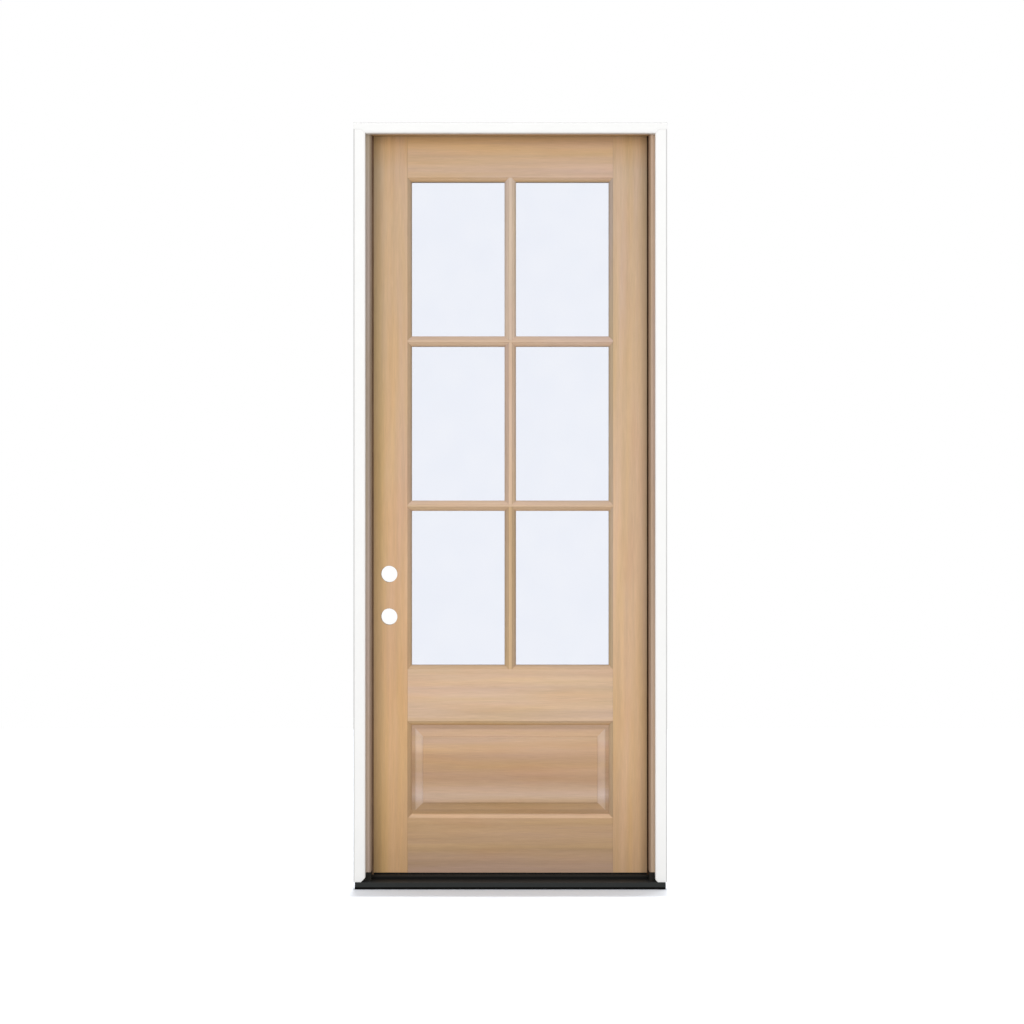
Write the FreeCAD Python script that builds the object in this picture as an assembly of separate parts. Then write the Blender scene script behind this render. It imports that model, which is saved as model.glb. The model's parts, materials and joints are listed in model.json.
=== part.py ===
import FreeCAD, Part
import math
import os

Vector = FreeCAD.Vector

# A hung exterior door, in millimetres: X to the right seen from outside, Y towards the room, Z up.
# The origin is on the underside of the sill, at mid width, in the plane of the frame's outer edge.

# Door slab
slab_width = 914.4
slab_height = 2419.35
slab_thickness = 44.45
stile_width = 121.0
top_rail_width = 143.35
middle_rail_width = 170.5
bottom_rail_width = 178.5
panel_opening_height = 317.5
lock_edge_relief = 2.3

# Moulded edge worked on stiles, rails and bars
sticking_width = 13.3
sticking_depth = 15.4
sticking_bulge = 1.6

# Glazing
lite_rows = 3
lite_columns = 2
horizontal_bar_flat = 7.4
vertical_bar_flat = 11.1
pane_thickness = 3.2
pane_gap = 9.5
glass_edge_clearance = 2.0
spacer_width = 8.0
spacer_inset = 1.5
bead_round = 11.0

# Raised panel
panel_edge_clearance = 1.5
panel_groove_clearance = 0.2
panel_margin = 11.0
panel_bevel_width = 26.0
panel_bevel_rise = 9.0
panel_shoulder = 4.0

# Lock preparation
lock_bore_diameter = 53.98
lock_backset = 60.3
latch_height = 838.2
deadbolt_spacing = 139.7
edge_bore_diameter = 25.4
strike_bore_depth = 14.0
strike_plate_height = 57.15
strike_plate_width = 28.6
strike_plate_depth = 2.0

# Frame
jamb_depth = 116.0
jamb_thickness = 29.05
rabbet_step = 10.0
door_clearance = 5.0
head_clearance = 2.3
seal_gap = 8.05
kerf_width = 3.2
kerf_depth = 9.0
kerf_inset = 4.0
side_seal_width = 14.2
head_seal_width = 8.5
seal_inset = 1.0
seal_shoulder = 1.5
seal_tongue_clearance = 0.3
running_clearance = 0.3

# Outside casing
casing_width = 38.1
head_casing_width = 36.0
casing_thickness = 31.75
casing_moulding = 12.7
casing_inner_thickness = 29.0
casing_outer_chamfer = 4.0
side_reveal = 17.94
head_overlap = 3.5
strike_foot_chamfer = 14.0
hinge_foot_chamfer = 8.0

# Sill
door_bottom = 40.0
sill_skin = 3.0
nosing_height = 22.0
nosing_reach = 40.0
nosing_drip = 7.0
horn_overhang = 21.75
deck_rise = 2.0
jamb_foot_height = 50.0
cap_seat_height = 24.0
cap_depth = 71.0
upstand_height = 30.0
cap_top_height = 35.0
cap_edge_round = 3.0

# Sweep under the door
sweep_width = 38.0
sweep_end_clearance = 2.0
sweep_body_height = 3.4
sweep_fin_thickness = 1.5
sweep_fin_count = 3

# Butt hinges
hinge_count = 4
hinge_height = 101.6
hinge_top_margin = 177.8
hinge_bottom_margin = 279.4
hinge_knuckles = 3
leaf_thickness = 2.3
leaf_reach = 44.0
leaf_corner = 6.35
barrel_radius = 6.35
barrel_proud = 6.4
pin_radius = 3.0
pin_clearance = 0.15
pin_head_radius = 5.0
pin_head_height = 3.0

# Places worked out from the sizes above
slab_half = slab_width / 2
slab_top = door_bottom + slab_height
door_inside = jamb_depth
door_outside = door_inside - slab_thickness
rabbet_half = slab_half + door_clearance
stop_half = rabbet_half - rabbet_step
jamb_half = stop_half + jamb_thickness
stop_face = door_outside - seal_gap
head_rabbet = slab_top + head_clearance
head_stop = head_rabbet - rabbet_step
head_top = head_stop + jamb_thickness
cap_front = jamb_depth - cap_depth
casing_inner = stop_half + side_reveal
casing_outer = casing_inner + casing_width
casing_bottom = head_stop - head_overlap
casing_top = casing_bottom + head_casing_width
horn_half = jamb_half + horn_overhang
opening_half = slab_half - stile_width
panel_bottom = door_bottom + bottom_rail_width
panel_top = panel_bottom + panel_opening_height
glazed_bottom = panel_top + middle_rail_width
glazed_top = slab_top - top_rail_width
row_height = (glazed_top - glazed_bottom - (lite_rows - 1) * horizontal_bar_flat) / lite_rows
column_width = (2 * opening_half - (lite_columns - 1) * vertical_bar_flat) / lite_columns
glass_face = door_outside + sticking_depth
glass_back = glass_face + 2 * pane_thickness + pane_gap
slab_middle = door_outside + slab_thickness / 2
lock_centre = -slab_half + lock_backset
latch_centre = door_bottom + latch_height
bolt_heights = (latch_centre, latch_centre + deadbolt_spacing)
hinge_axis_x = slab_half + door_clearance / 2
hinge_axis_y = door_inside + barrel_proud

along_x = Vector(1, 0, 0)
along_y = Vector(0, 1, 0)
along_z = Vector(0, 0, 1)
pieces = {}


def block(low, high):
    # Rectangular block between two opposite corners
    size = high - low
    return Part.makeBox(size.x, size.y, size.z, low)


def flat_face(corners):
    # Plane face with straight edges
    return Part.Face(Part.makePolygon(corners + [corners[0]]))


def line(start, end):
    return Part.LineSegment(start, end).toShape()


def arc(start, middle, end):
    return Part.Arc(start, middle, end).toShape()


def mirrored(shape):
    # The same piece on the other side of the door
    return shape.mirror(Vector(0, 0, 0), along_x)


def joined(shapes):
    # One solid from pieces that share faces
    return shapes[0].fuse(shapes[1:]).removeSplitter()


def moulded_lip(edge_start, edge_end, outward, inward):
    # Lip along one edge of a board: a gently rounded slope below a small quirk
    heel = edge_start + inward * sticking_depth
    crown = heel - inward * sticking_width
    toe = heel + outward * sticking_width
    slope = (outward - inward) * math.sqrt(0.5)
    shoulder = (crown + toe) * 0.5 + slope * sticking_bulge
    outline = Part.Wire([arc(crown, shoulder, toe), line(toe, heel), line(heel, crown)])
    return Part.Face(outline).extrude(edge_end - edge_start)


def outside_lip(start_x, start_z, end_x, end_z, outward):
    start = Vector(start_x, door_outside, start_z)
    end = Vector(end_x, door_outside, end_z)
    return moulded_lip(start, end, outward, along_y)


def inside_lip(start_x, start_z, end_x, end_z, outward):
    start = Vector(start_x, door_inside, start_z)
    end = Vector(end_x, door_inside, end_z)
    return moulded_lip(start, end, outward, -along_y)


def slab_board(low_x, low_z, high_x, high_z):
    # Board of the full door thickness
    return block(Vector(low_x, door_outside, low_z), Vector(high_x, door_inside, high_z))


def plain_stile():
    # Hinge stile before any cut, with its lips on the side of the opening
    board = slab_board(opening_half, door_bottom, slab_half, slab_top)
    front = outside_lip(opening_half, door_bottom, opening_half, slab_top, -along_x)
    back = inside_lip(opening_half, door_bottom, opening_half, glazed_bottom, -along_x)
    return joined([board, front, back])


def lock_edge_wedge():
    # Wedge taken off the lock edge so that the closing corner clears the frame
    corners = [
        Vector(-slab_half, door_outside, door_bottom),
        Vector(-slab_half + lock_edge_relief, door_outside, door_bottom),
        Vector(-slab_half, door_inside, door_bottom),
    ]
    return flat_face(corners).extrude(along_z * slab_height)


def lock_bores():
    # Through bores for deadbolt and latch, each with its bolt bore from the edge
    cuts = []
    for height in bolt_heights:
        front = Vector(lock_centre, door_outside, height)
        edge = Vector(-slab_half, slab_middle, height)
        cuts.append(Part.makeCylinder(lock_bore_diameter / 2, slab_thickness, front, along_y))
        cuts.append(Part.makeCylinder(edge_bore_diameter / 2, lock_backset, edge, along_x))
    return cuts


def hinge_heights():
    # Bottom of each hinge, from the top one down
    highest = slab_top - hinge_top_margin - hinge_height
    lowest = door_bottom + hinge_bottom_margin
    step = (highest - lowest) / (hinge_count - 1)
    return [highest - step * index for index in range(hinge_count)]


def leaf_plate(inner_x, bottom):
    # Flat of a hinge leaf let into the wood, with its two far corners rounded
    low = Vector(inner_x, hinge_axis_y - leaf_reach, bottom)
    high = Vector(inner_x + leaf_thickness, door_inside, bottom + hinge_height)
    plate = block(low, high)
    corners = []
    for edge in plate.Edges:
        box = edge.BoundBox
        if box.YMax < high.y and box.XLength > box.ZLength:
            corners.append(edge)
    return plate.makeFillet(leaf_corner, corners)


def hinge_leaf(inner_x, bottom, first_knuckle):
    # A leaf with every second knuckle of the barrel
    knuckle_pitch = hinge_height / hinge_knuckles
    shapes = [leaf_plate(inner_x, bottom)]
    for index in range(first_knuckle, hinge_knuckles, 2):
        low = bottom + index * knuckle_pitch + running_clearance / 2
        height = knuckle_pitch - running_clearance
        tongue_low = Vector(inner_x, door_inside, low)
        tongue_high = Vector(inner_x + leaf_thickness, hinge_axis_y, low + height)
        shapes.append(block(tongue_low, tongue_high))
        foot = Vector(hinge_axis_x, hinge_axis_y, low)
        shapes.append(Part.makeCylinder(barrel_radius, height, foot))
    bore_foot = Vector(hinge_axis_x, hinge_axis_y, bottom)
    bore = Part.makeCylinder(pin_radius + pin_clearance, hinge_height, bore_foot)
    return joined(shapes).cut(bore)


def hinge_pin(bottom):
    # Loose pin whose head stands on the top knuckle
    knuckle_top = bottom + hinge_height - running_clearance / 2
    top = Vector(hinge_axis_x, hinge_axis_y, knuckle_top)
    shank = Part.makeCylinder(pin_radius, hinge_height, top, -along_z)
    head = Part.makeCylinder(pin_head_radius, pin_head_height, top)
    return joined([shank, head])


def make_stiles():
    hinge_stile = plain_stile()
    lock_stile = mirrored(hinge_stile)
    lock_stile = lock_stile.cut([lock_edge_wedge()] + lock_bores())
    for bottom in hinge_heights():
        hinge_stile = hinge_stile.cut(leaf_plate(slab_half - leaf_thickness, bottom))
    pieces["hinge_stile"] = hinge_stile
    pieces["lock_stile"] = lock_stile


def coped_between_stiles(shape):
    # Ends of a cross piece cut to the shape of the stiles' lips
    stile = plain_stile()
    return shape.cut([stile, mirrored(stile)])


def cross_board(low_z, high_z):
    return slab_board(-opening_half, low_z, opening_half, high_z)


def front_lip_across(height, outward):
    return outside_lip(-opening_half, height, opening_half, height, outward)


def back_lip_across(height, outward):
    return inside_lip(-opening_half, height, opening_half, height, outward)


def make_rails():
    top = [cross_board(glazed_top, slab_top), front_lip_across(glazed_top, -along_z)]
    middle = [
        cross_board(panel_top, glazed_bottom),
        front_lip_across(glazed_bottom, along_z),
        front_lip_across(panel_top, -along_z),
        back_lip_across(panel_top, -along_z),
    ]
    bottom = [
        cross_board(door_bottom, panel_bottom),
        front_lip_across(panel_bottom, along_z),
        back_lip_across(panel_bottom, along_z),
    ]
    pieces["top_rail"] = coped_between_stiles(joined(top))
    pieces["middle_rail"] = coped_between_stiles(joined(middle))
    pieces["bottom_rail"] = coped_between_stiles(joined(bottom))


def row_bottom(row):
    # Lower edge of a row of lites, counted from the top row
    return glazed_top - row_height - row * (row_height + horizontal_bar_flat)


def column_left(column):
    return -opening_half + column * (column_width + vertical_bar_flat)


def plain_horizontal_bar(row):
    # Bar below a row of lites, before its ends are coped
    high = row_bottom(row)
    low = high - horizontal_bar_flat
    lips = [front_lip_across(low, -along_z), front_lip_across(high, along_z)]
    return joined([cross_board(low, high)] + lips)


def plain_vertical_bar(row, column):
    # Short bar between two lites of one row, before its ends are coped
    low_x = column_left(column) + column_width
    high_x = low_x + vertical_bar_flat
    low_z = row_bottom(row)
    high_z = low_z + row_height
    lips = [
        outside_lip(low_x, low_z, low_x, high_z, -along_x),
        outside_lip(high_x, low_z, high_x, high_z, along_x),
    ]
    return joined([slab_board(low_x, low_z, high_x, high_z)] + lips)


def make_bars():
    crossing = [plain_horizontal_bar(row) for row in range(lite_rows - 1)]
    level = [front_lip_across(glazed_top, -along_z)] + crossing + [front_lip_across(glazed_bottom, along_z)]
    for row, bar in enumerate(crossing):
        pieces["horizontal_bar_%d" % (row + 1)] = coped_between_stiles(bar)
    number = 1
    for row in range(lite_rows):
        for column in range(lite_columns - 1):
            pieces["vertical_bar_%d" % number] = plain_vertical_bar(row, column).cut(level)
            number += 1


def raised_face(face_y, outward):
    # Bevel, shoulder and field on one side of the panel
    base_half = opening_half - sticking_width - panel_margin
    field_half = base_half - panel_bevel_width
    base_low = panel_bottom + sticking_width + panel_margin
    base_high = panel_top - sticking_width - panel_margin
    field_low = base_low + panel_bevel_width
    field_high = base_high - panel_bevel_width
    bevel_y = face_y + outward * panel_bevel_rise
    field_y = bevel_y + outward * panel_shoulder
    base = (-base_half, base_half, base_low, base_high)
    field = (-field_half, field_half, field_low, field_high)
    near, far = (field, base) if outward < 0 else (base, field)
    bevel = Part.makeWedge(
        near[0], min(face_y, bevel_y), near[2], far[2], far[0],
        near[1], max(face_y, bevel_y), near[3], far[3], far[1],
    )
    low = Vector(-field_half, min(bevel_y, field_y), field_low)
    high = Vector(field_half, max(bevel_y, field_y), field_high)
    return [bevel, block(low, high)]


def make_panel():
    # Panel floating in the grooves of stiles and rails
    half = opening_half - panel_edge_clearance
    front = glass_face + panel_groove_clearance
    back = door_inside - sticking_depth - panel_groove_clearance
    low = Vector(-half, front, panel_bottom + panel_edge_clearance)
    high = Vector(half, back, panel_top - panel_edge_clearance)
    pieces["raised_panel"] = joined([block(low, high)] + raised_face(front, -1) + raised_face(back, 1))


def lites():
    # Rebate opening of every lite: left, right, bottom and top
    for row in range(lite_rows):
        for column in range(lite_columns):
            left = column_left(column)
            bottom = row_bottom(row)
            yield left, left + column_width, bottom, bottom + row_height


def pane(bounds, front, inset, thickness):
    left, right, bottom, top = bounds
    low = Vector(left + inset, front, bottom + inset)
    high = Vector(right - inset, front + thickness, top - inset)
    return block(low, high)


def make_glass():
    spacers = []
    spacer_front = glass_face + pane_thickness
    for number, bounds in enumerate(lites(), 1):
        outer = pane(bounds, glass_face, glass_edge_clearance, pane_thickness)
        inner = pane(bounds, spacer_front + pane_gap, glass_edge_clearance, pane_thickness)
        pieces["glass_lite_%d" % number] = Part.makeCompound([outer, inner])
        edge = glass_edge_clearance + spacer_inset
        ring = pane(bounds, spacer_front, edge, pane_gap)
        spacers.append(ring.cut(pane(bounds, spacer_front, edge + spacer_width, pane_gap)))
    pieces["glass_spacers"] = Part.makeCompound(spacers)


def bead_profile(corner, outward):
    # Section of a glazing bead: square to glass and rebate, rounded towards the room
    depth = door_inside - glass_back
    toe = corner + outward * sticking_width
    land = toe + along_y * (depth - bead_round)
    crown = corner + outward * (sticking_width - bead_round) + along_y * depth
    centre = crown - along_y * bead_round
    belly = centre + (outward + along_y) * (bead_round * math.sqrt(0.5))
    back = corner + along_y * depth
    edges = [
        line(corner, toe),
        line(toe, land),
        arc(land, belly, crown),
        line(crown, back),
        line(back, corner),
    ]
    return Part.Face(Part.Wire(edges))


def mitred(shape, corners):
    # Keep the stretch of a bead between its two mitres
    outline = [Vector(x, glass_back, z) for x, z in corners]
    return shape.common(flat_face(outline).extrude(along_y * (door_inside - glass_back)))


def make_beads():
    upright = []
    level = []
    width = sticking_width
    for left, right, bottom, top in lites():
        inner = (left + width, right - width, bottom + width, top - width)
        rise = along_z * (top - bottom)
        run = along_x * (right - left)
        sides = (
            (upright, left, bottom, along_x, rise, left, inner[0]),
            (upright, right, bottom, -along_x, rise, right, inner[1]),
        )
        for group, x, z, outward, length, edge, sight in sides:
            bead = bead_profile(Vector(x, glass_back, z), outward).extrude(length)
            corners = [(edge, bottom), (edge, top), (sight, inner[3]), (sight, inner[2])]
            group.append(mitred(bead, corners))
        ends = (
            (level, left, bottom, along_z, run, bottom, inner[2]),
            (level, left, top, -along_z, run, top, inner[3]),
        )
        for group, x, z, outward, length, edge, sight in ends:
            bead = bead_profile(Vector(x, glass_back, z), outward).extrude(length)
            corners = [(left, edge), (right, edge), (inner[1], sight), (inner[0], sight)]
            group.append(mitred(bead, corners))
    pieces["upright_beads"] = Part.makeCompound(upright)
    pieces["level_beads"] = Part.makeCompound(level)


def jamb_face(kerfed):
    # Section of the hinge jamb: a rebated board, with the slot that holds its seal
    corners = [
        Vector(stop_half, 0, 0),
        Vector(jamb_half, 0, 0),
        Vector(jamb_half, jamb_depth, 0),
        Vector(rabbet_half, jamb_depth, 0),
        Vector(rabbet_half, stop_face, 0),
    ]
    if kerfed:
        near = rabbet_half - kerf_inset
        far = near - kerf_width
        corners.append(Vector(near, stop_face, 0))
        corners.append(Vector(near, stop_face - kerf_depth, 0))
        corners.append(Vector(far, stop_face - kerf_depth, 0))
        corners.append(Vector(far, stop_face, 0))
    corners.append(Vector(stop_half, stop_face, 0))
    return flat_face(corners)


def side_jamb():
    # Hinge jamb standing on its end block
    foot = jamb_face(True)
    foot.translate(along_z * jamb_foot_height)
    return foot.extrude(along_z * (head_top - jamb_foot_height))


def jamb_space():
    # Room that a side jamb and the end block below it take up
    return jamb_face(False).extrude(along_z * head_top)


def head_section(face):
    # The same section turned to lie across the head, worked from the mid width
    turned = face.copy()
    turned.rotate(Vector(0, 0, 0), along_y, -90)
    turned.translate(Vector(-jamb_half, 0, head_rabbet - rabbet_half))
    return turned


def strike_cuts():
    # Recess and bolt hole for each strike plate
    cuts = []
    for height in bolt_heights:
        mouth = Vector(-rabbet_half, slab_middle, height)
        reach = Vector(0, strike_plate_width / 2, strike_plate_height / 2)
        cuts.append(block(mouth - reach - along_x * strike_plate_depth, mouth + reach))
        cuts.append(Part.makeCylinder(edge_bore_diameter / 2, strike_bore_depth, mouth, -along_x))
    return cuts


def make_jambs():
    hinge_jamb = side_jamb()
    strike_jamb = mirrored(hinge_jamb).cut(strike_cuts())
    for bottom in hinge_heights():
        hinge_jamb = hinge_jamb.cut(leaf_plate(rabbet_half, bottom))
    filled = jamb_space()
    head = head_section(jamb_face(True)).extrude(along_x * (2 * jamb_half))
    pieces["hinge_jamb"] = hinge_jamb
    pieces["strike_jamb"] = strike_jamb
    pieces["head_jamb"] = head.cut([filled, mirrored(filled)])


def bulb_face(width):
    # Section of the hinge side seal's bulb, flat against the stop
    near = rabbet_half - seal_inset
    far = near - width
    crown = Vector((near + far) / 2, door_outside - running_clearance, 0)
    base = stop_face + seal_shoulder
    edges = [
        line(Vector(far, stop_face, 0), Vector(far, base, 0)),
        arc(Vector(far, base, 0), crown, Vector(near, base, 0)),
        line(Vector(near, base, 0), Vector(near, stop_face, 0)),
        line(Vector(near, stop_face, 0), Vector(far, stop_face, 0)),
    ]
    return Part.Face(Part.Wire(edges))


def tongue_face():
    # Section of the seal's tongue, which holds in the slot of the stop
    near = rabbet_half - kerf_inset - seal_tongue_clearance
    far = rabbet_half - kerf_inset - kerf_width + seal_tongue_clearance
    end = stop_face - kerf_depth + seal_tongue_clearance
    return flat_face([
        Vector(near, stop_face, 0),
        Vector(near, end, 0),
        Vector(far, end, 0),
        Vector(far, stop_face, 0),
    ])


def upright_seal(face):
    foot = face.copy()
    foot.translate(along_z * cap_top_height)
    return foot.extrude(along_z * (head_rabbet - cap_top_height))


def level_seal(face, half):
    start = head_section(face)
    start.translate(along_x * (jamb_half - half))
    return start.extrude(along_x * (2 * half))


def make_seals():
    side_bulb = bulb_face(side_seal_width)
    head_bulb = bulb_face(head_seal_width)
    bulb_half = rabbet_half - seal_inset - side_seal_width
    hinge_seal = joined([upright_seal(side_bulb), upright_seal(tongue_face())])
    head_seal = joined([level_seal(head_bulb, bulb_half), level_seal(tongue_face(), bulb_half)])
    pieces["hinge_weatherstrip"] = hinge_seal
    pieces["strike_weatherstrip"] = mirrored(hinge_seal)
    pieces["head_weatherstrip"] = head_seal


def casing_face(width):
    # Section of the hinge side casing: rounded inner moulding, flat face, small outer chamfer
    inner = casing_inner
    outer = inner + width
    crown = inner + casing_moulding
    front = -casing_thickness
    drop = casing_thickness - casing_inner_thickness
    lift = math.sqrt(0.5)
    belly = Vector(crown - casing_moulding * lift, front + drop - drop * lift, 0)
    edges = [
        line(Vector(inner, 0, 0), Vector(inner, -casing_inner_thickness, 0)),
        arc(Vector(inner, -casing_inner_thickness, 0), belly, Vector(crown, front, 0)),
        line(Vector(crown, front, 0), Vector(outer - casing_outer_chamfer, front, 0)),
        line(
            Vector(outer - casing_outer_chamfer, front, 0),
            Vector(outer, front + casing_outer_chamfer, 0),
        ),
        line(Vector(outer, front + casing_outer_chamfer, 0), Vector(outer, 0, 0)),
        line(Vector(outer, 0, 0), Vector(inner, 0, 0)),
    ]
    return Part.Face(Part.Wire(edges))


def casing_outline(corners):
    # Front outline of a casing piece as a prism through its thickness
    outline = [Vector(x, -casing_thickness, z) for x, z in corners]
    return flat_face(outline).extrude(along_y * casing_thickness)


def side_casing(foot_chamfer):
    # Hinge side casing: mitred in the moulding, square beyond it, and cut away at the foot
    butt = casing_bottom + casing_moulding
    side = casing_face(casing_width)
    side.translate(along_z * nosing_height)
    side = side.extrude(along_z * (casing_top - nosing_height))
    corners = [
        (casing_inner + foot_chamfer, nosing_height),
        (casing_outer, nosing_height),
        (casing_outer, butt),
        (casing_inner + casing_moulding, butt),
        (casing_inner, casing_bottom),
        (casing_inner, nosing_height + foot_chamfer),
    ]
    return side.common(casing_outline(corners))


def make_casing():
    butt = casing_bottom + casing_moulding
    mitre = casing_inner + casing_moulding
    head = casing_face(head_casing_width)
    head.rotate(Vector(0, 0, 0), along_y, -90)
    head.translate(Vector(-casing_outer, 0, casing_bottom - casing_inner))
    head = head.extrude(along_x * (2 * casing_outer))
    head_corners = [
        (-casing_inner, casing_bottom),
        (casing_inner, casing_bottom),
        (mitre, butt),
        (casing_outer, butt),
        (casing_outer, casing_top),
        (-casing_outer, casing_top),
        (-casing_outer, butt),
        (-mitre, butt),
    ]
    pieces["hinge_casing"] = side_casing(hinge_foot_chamfer)
    pieces["strike_casing"] = mirrored(side_casing(strike_foot_chamfer))
    pieces["head_casing"] = head.common(casing_outline(head_corners))


def sill_length(section):
    # A sill section run between the jambs, with horns under the casing
    face = flat_face([Vector(0, y, z) for y, z in section])
    outside = block(Vector(-horn_half, -nosing_reach, 0), Vector(horn_half, 0, door_bottom))
    front = face.copy()
    front.translate(along_x * -horn_half)
    horns = front.extrude(along_x * (2 * horn_half)).common(outside)
    middle = face.copy()
    middle.translate(along_x * -rabbet_half)
    jamb = jamb_space()
    between = middle.extrude(along_x * (2 * rabbet_half)).cut([jamb, mirrored(jamb), outside])
    return joined([horns, between])


def threshold_cap():
    # Cap under the door, rounded along its top edges and notched round the stops
    low = Vector(-rabbet_half, cap_front, cap_seat_height)
    cap = block(low, Vector(rabbet_half, jamb_depth, cap_top_height))
    ridges = []
    for edge in cap.Edges:
        if edge.CenterOfMass.z > cap_top_height - cap_edge_round and edge.Length > jamb_depth:
            ridges.append(edge)
    jamb = jamb_space()
    return cap.makeFillet(cap_edge_round, ridges).cut([jamb, mirrored(jamb)])


def make_sill():
    skirt_back = sill_skin - nosing_reach
    upstand_front = cap_front - sill_skin
    core_front = nosing_height - sill_skin
    core_back = core_front + deck_rise
    base = [
        (skirt_back, 0),
        (jamb_depth, 0),
        (jamb_depth, cap_seat_height),
        (cap_front, cap_seat_height),
        (cap_front, core_back),
        (0, core_front),
        (skirt_back, core_front),
    ]
    deck = [
        (-nosing_reach, nosing_drip),
        (skirt_back, nosing_drip),
        (skirt_back, core_front),
        (0, core_front),
        (cap_front, core_back),
        (cap_front, upstand_height),
        (upstand_front, upstand_height),
        (upstand_front, nosing_height + deck_rise),
        (0, nosing_height),
        (-nosing_reach, nosing_height),
    ]
    end_block = jamb_face(True).extrude(along_z * jamb_foot_height)
    pieces["sill_base"] = sill_length(base)
    pieces["sill_deck"] = sill_length(deck)
    pieces["sill_end_blocks"] = Part.makeCompound([end_block, mirrored(end_block)])
    pieces["threshold_cap"] = threshold_cap()


def make_sweep():
    # Flexible strip under the door, with fins that just clear the threshold
    half = slab_half - lock_edge_relief - sweep_end_clearance
    front = slab_middle - sweep_width / 2
    back = slab_middle + sweep_width / 2
    body_low = door_bottom - sweep_body_height
    fin_low = cap_top_height + running_clearance
    shapes = [block(Vector(-half, front, body_low), Vector(half, back, door_bottom))]
    pitch = (sweep_width - sweep_fin_thickness) / (sweep_fin_count - 1)
    for index in range(sweep_fin_count):
        fin_front = front + index * pitch
        low = Vector(-half, fin_front, fin_low)
        high = Vector(half, fin_front + sweep_fin_thickness, body_low)
        shapes.append(block(low, high))
    pieces["door_sweep"] = joined(shapes)


def make_hinges():
    for number, bottom in enumerate(hinge_heights(), 1):
        pieces["jamb_hinge_leaf_%d" % number] = hinge_leaf(rabbet_half, bottom, 0)
        pieces["door_hinge_leaf_%d" % number] = hinge_leaf(slab_half - leaf_thickness, bottom, 1)
        pieces["hinge_pin_%d" % number] = hinge_pin(bottom)


make_stiles()
make_rails()
make_bars()
make_panel()
make_glass()
make_beads()
make_jambs()
make_seals()
make_casing()
make_sill()
make_sweep()
make_hinges()

os.makedirs("parts", exist_ok=True)
for name, shape in pieces.items():
    shape.exportStep("parts/%s.step" % name)
    print(name, len(shape.Solids), round(shape.Volume), shape.isValid())
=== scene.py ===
import json
import math
import bmesh
import bpy
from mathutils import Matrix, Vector


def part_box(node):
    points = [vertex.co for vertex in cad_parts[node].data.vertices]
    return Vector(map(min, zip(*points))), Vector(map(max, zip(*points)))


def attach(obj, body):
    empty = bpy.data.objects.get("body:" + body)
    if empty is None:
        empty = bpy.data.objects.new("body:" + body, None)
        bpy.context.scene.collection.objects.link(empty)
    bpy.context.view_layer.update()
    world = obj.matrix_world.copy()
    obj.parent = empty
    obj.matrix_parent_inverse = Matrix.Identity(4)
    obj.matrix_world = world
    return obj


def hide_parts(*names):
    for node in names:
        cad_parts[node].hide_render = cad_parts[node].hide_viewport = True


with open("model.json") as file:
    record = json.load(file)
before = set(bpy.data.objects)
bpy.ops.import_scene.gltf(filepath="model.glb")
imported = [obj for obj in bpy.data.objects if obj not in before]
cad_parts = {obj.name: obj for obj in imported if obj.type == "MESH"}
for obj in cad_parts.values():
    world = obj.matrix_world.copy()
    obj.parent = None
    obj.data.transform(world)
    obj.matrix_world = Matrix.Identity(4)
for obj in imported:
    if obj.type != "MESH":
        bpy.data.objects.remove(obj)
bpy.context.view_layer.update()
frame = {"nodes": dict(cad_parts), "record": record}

scene = bpy.context.scene
record = frame["record"]
bodyOf = {node: body for body, nodes in record["behaviour"]["bodies"].items() for node in nodes}
slotOf = {row["node"]: row["material_slot"] for row in record["subparts"]}
print("frame loaded:", len(frame["nodes"]), "CAD nodes")


def toLinear(screenColour):
    # 0 to 255 screen values to the linear colour that a shader takes
    shares = [value / 255 for value in screenColour]
    return [s / 12.92 if s <= 0.04045 else ((s + 0.055) / 1.055) ** 2.4 for s in shares] + [1.0]


def addNode(tree, kind, settings=None, inputs=None):
    made = tree.nodes.new(kind)
    for name, value in (settings or {}).items():
        setattr(made, name, value)
    for name, value in (inputs or {}).items():
        if isinstance(value, bpy.types.NodeSocket):
            tree.links.new(value, made.inputs[name])
        else:
            made.inputs[name].default_value = value
    return made


def mixColours(tree, blend, share, first, second):
    settings = {"data_type": "RGBA", "blend_type": blend}
    return addNode(tree, "ShaderNodeMix", settings, {0: share, 6: first, 7: second}).outputs[2]


def tinted(tree, colour, tint, share=1.0):
    return mixColours(tree, "MULTIPLY", share, colour, tint)


def calc(tree, operation, first, second=0.0):
    return addNode(tree, "ShaderNodeMath", {"operation": operation}, {0: first, 1: second}).outputs[0]


def vectorCalc(tree, operation, inputs):
    return addNode(tree, "ShaderNodeVectorMath", {"operation": operation}, inputs).outputs[0]


def spread(tree, value, low, high, fromLow=0.0, fromHigh=1.0):
    # remap a value to the range low..high
    inputs = {"Value": value, "From Min": fromLow, "From Max": fromHigh, "To Min": low, "To Max": high}
    return addNode(tree, "ShaderNodeMapRange", None, inputs).outputs["Result"]


def rising(tree, value, span):
    return spread(tree, value, 0.0, 1.0, *span)


def falling(tree, value, span):
    return spread(tree, value, 1.0, 0.0, *span)


def wavering(tree, value, depth, span):
    # a brightness that goes up and down round 1
    return spread(tree, value, 1 - depth, 1 + depth, *span)


def placed(tree, vector, shift=(0, 0, 0), turn=(0, 0, 0), scale=(1, 1, 1)):
    inputs = {"Vector": vector, "Location": shift, "Rotation": turn, "Scale": scale}
    return addNode(tree, "ShaderNodeMapping", None, inputs).outputs["Vector"]


def speckle(tree, vector, detail=2.0, rough=0.5, output="Fac"):
    # noise at the scale that the vector already has
    inputs = {"Vector": vector, "Scale": 1.0, "Detail": detail, "Roughness": rough}
    return addNode(tree, "ShaderNodeTexNoise", None, inputs).outputs[output]


def acrossGrain(size):
    # noise scale from sizes across and along the grain
    return (1 / size[0], 1 / size[0], 1 / size[1])


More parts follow.
